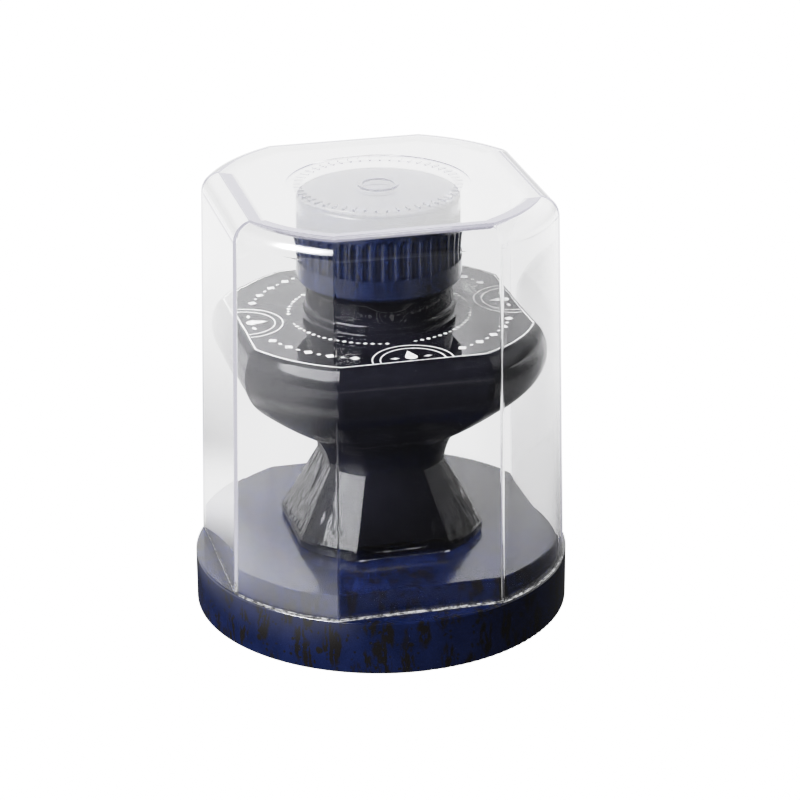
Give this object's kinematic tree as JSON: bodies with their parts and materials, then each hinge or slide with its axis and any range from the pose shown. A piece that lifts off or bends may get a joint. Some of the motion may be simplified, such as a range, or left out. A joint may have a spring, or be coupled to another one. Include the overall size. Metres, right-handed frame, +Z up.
{
  "type": "ink bottle in display case",
  "caption": "Footed glass ink bottle with a fluted screw cap, standing on a round base under a clear lift-off cover with four flats.",
  "frame": {"origin": "centre of the underside of the base, on the surface it stands on", "axes": "+Z up along the axis of the bottle; the flats of the cover and of the bottle face along +X, -X, +Y and -Y"},
  "size_m": [0.094, 0.094, 0.1096],
  "materials": {
    "marbled_plastic": "polished, dark blue marble with near-black streaks",
    "pad_rubber": "thin matt non-slip sheet",
    "clear_plastic": "clear moulded plastic, polished",
    "bottle_glass": "clear pressed glass",
    "ink": "blue-black liquid",
    "liner_foam": "white expanded foam disc"
  },
  "bodies": {
    "base": {"base_disc": "marbled_plastic", "base_pad": "pad_rubber"},
    "bottle": {"bottle_glass": "bottle_glass", "ink": "ink"},
    "liner": {"cap_liner": "liner_foam"},
    "cap": {"screw_cap": "marbled_plastic"},
    "cover": {"display_cover": "clear_plastic"}
  },
  "joints": [
    {"name": "bottle_lift", "type": "slide", "parent": "base", "child": "bottle", "axis": [0, 0, 1], "range_m": [0, 0.1]},
    {"name": "cap_rise", "type": "slide", "parent": "bottle", "child": "liner", "axis": [0, 0, 1], "range_m": [0, 0.014]},
    {"name": "cap_turn", "type": "hinge", "parent": "liner", "child": "cap", "pos_m": [0, 0, 0.102], "axis": [0, 0, 1], "range_deg": [0, 1260]},
    {"name": "cover_lift", "type": "slide", "parent": "liner", "child": "cover", "axis": [0, 0, 1], "range_m": [0, 0.11]}
  ],
  "couplings": [
    {"joint": "cap_rise", "follows": "cap_turn", "m_per_rad": 0.00063662}
  ]
}
